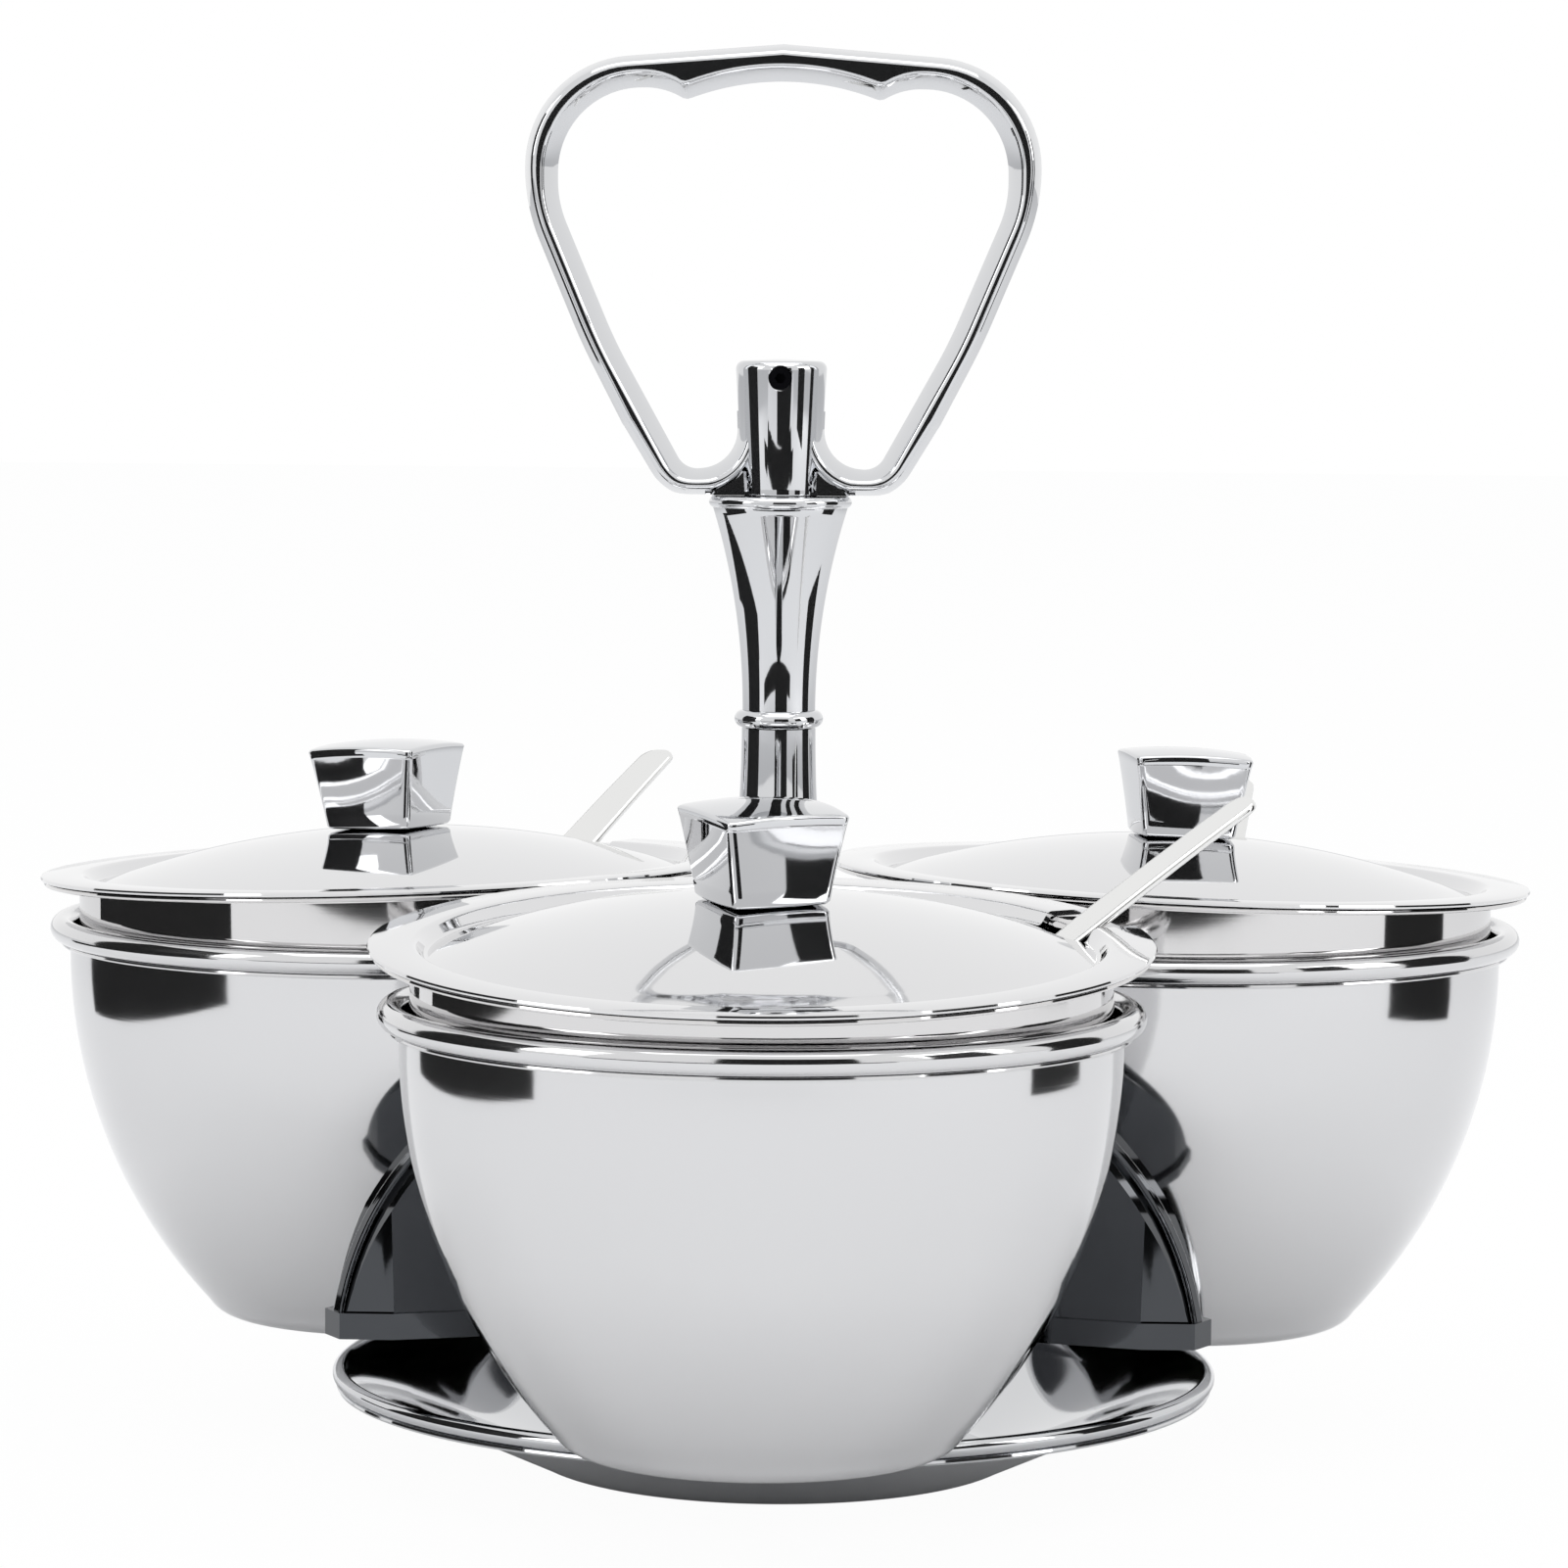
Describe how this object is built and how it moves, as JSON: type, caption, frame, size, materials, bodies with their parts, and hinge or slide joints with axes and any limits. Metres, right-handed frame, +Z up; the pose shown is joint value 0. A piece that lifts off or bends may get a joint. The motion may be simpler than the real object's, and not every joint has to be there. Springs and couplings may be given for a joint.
{
  "type": "rotating spice rack",
  "caption": "Revolving table server: lidded bowls in round cups on a finned carrier over a dish base, with a column and a loop handle.",
  "frame": {"origin": "on the spin axis at the underside of the base dish, which stands on the table", "axes": "+Z up the spin axis; -Y towards the cup that faces the camera; X along the handle"},
  "size_m": [0.2818, 0.2762, 0.258],
  "materials": {
    "plated_dish": "polished",
    "plated_moulding": "polished",
    "plated_casting": "polished",
    "satin_cup": "satin",
    "bright_bowl": "bright",
    "satin_lid": "satin",
    "bright_spoon": "bright",
    "steel": "zinc plated",
    "black_steel": "black oxide",
    "washer": "matt"
  },
  "bodies": {
    "base": {"base_dish": "plated_dish", "thrust_washer": "washer"},
    "carrier": {"carrier": "plated_moulding", "tie_rod": "steel", "retaining_washer": "steel", "lock_nut": "steel", "column_stem": "plated_casting", "column_trumpet": "plated_casting", "handle": "plated_casting", "handle_set_screw": "black_steel", "cup_screws": "steel", "cup_front": "satin_cup", "cup_right": "satin_cup", "cup_left": "satin_cup"},
    "bowl_front": {"bowl_front": "bright_bowl"},
    "lid_front": {"lid_front": "satin_lid", "knob_front": "plated_casting", "knob_screw_front": "steel"},
    "spoon_front": {"spoon_front": "bright_spoon"},
    "bowl_right": {"bowl_right": "bright_bowl"},
    "lid_right": {"lid_right": "satin_lid", "knob_right": "plated_casting", "knob_screw_right": "steel"},
    "spoon_right": {"spoon_right": "bright_spoon"},
    "bowl_left": {"bowl_left": "bright_bowl"},
    "lid_left": {"lid_left": "satin_lid", "knob_left": "plated_casting", "knob_screw_left": "steel"},
    "spoon_left": {"spoon_left": "bright_spoon"}
  },
  "joints": [
    {"name": "carrier_spin", "type": "hinge", "parent": "base", "child": "carrier", "pos_m": [0, 0, 0.02], "axis": [0, 0, 1], "continuous": true},
    {"name": "bowl_lift_front", "type": "slide", "parent": "carrier", "child": "bowl_front", "axis": [0, -0.0663, 0.9978], "range_m": [0, 0.055]},
    {"name": "lid_lift_front", "type": "slide", "parent": "bowl_front", "child": "lid_front", "axis": [0, -0.4226, 0.9063], "range_m": [0, 0.1]},
    {"name": "spoon_slide_front", "type": "slide", "parent": "bowl_front", "child": "spoon_front", "axis": [0.7553, 0.2503, 0.6057], "range_m": [0, 0.028]},
    {"name": "bowl_lift_right", "type": "slide", "parent": "carrier", "child": "bowl_right", "axis": [0.0348, 0.0201, 0.9992], "range_m": [0, 0.055]},
    {"name": "lid_lift_right", "type": "slide", "parent": "bowl_right", "child": "lid_right", "axis": [0.366, 0.2113, 0.9063], "range_m": [0, 0.1]},
    {"name": "spoon_slide_right", "type": "slide", "parent": "bowl_right", "child": "spoon_right", "axis": [0.163, 0.8274, 0.5374], "range_m": [0, 0.028]},
    {"name": "bowl_lift_left", "type": "slide", "parent": "carrier", "child": "bowl_left", "axis": [-0.0348, 0.0201, 0.9992], "range_m": [0, 0.055]},
    {"name": "lid_lift_left", "type": "slide", "parent": "bowl_left", "child": "lid_left", "axis": [-0.366, 0.2113, 0.9063], "range_m": [0, 0.1]},
    {"name": "spoon_slide_left", "type": "slide", "parent": "bowl_left", "child": "spoon_left", "axis": [0.4558, 0.7137, 0.5319], "range_m": [0, 0.028]}
  ]
}
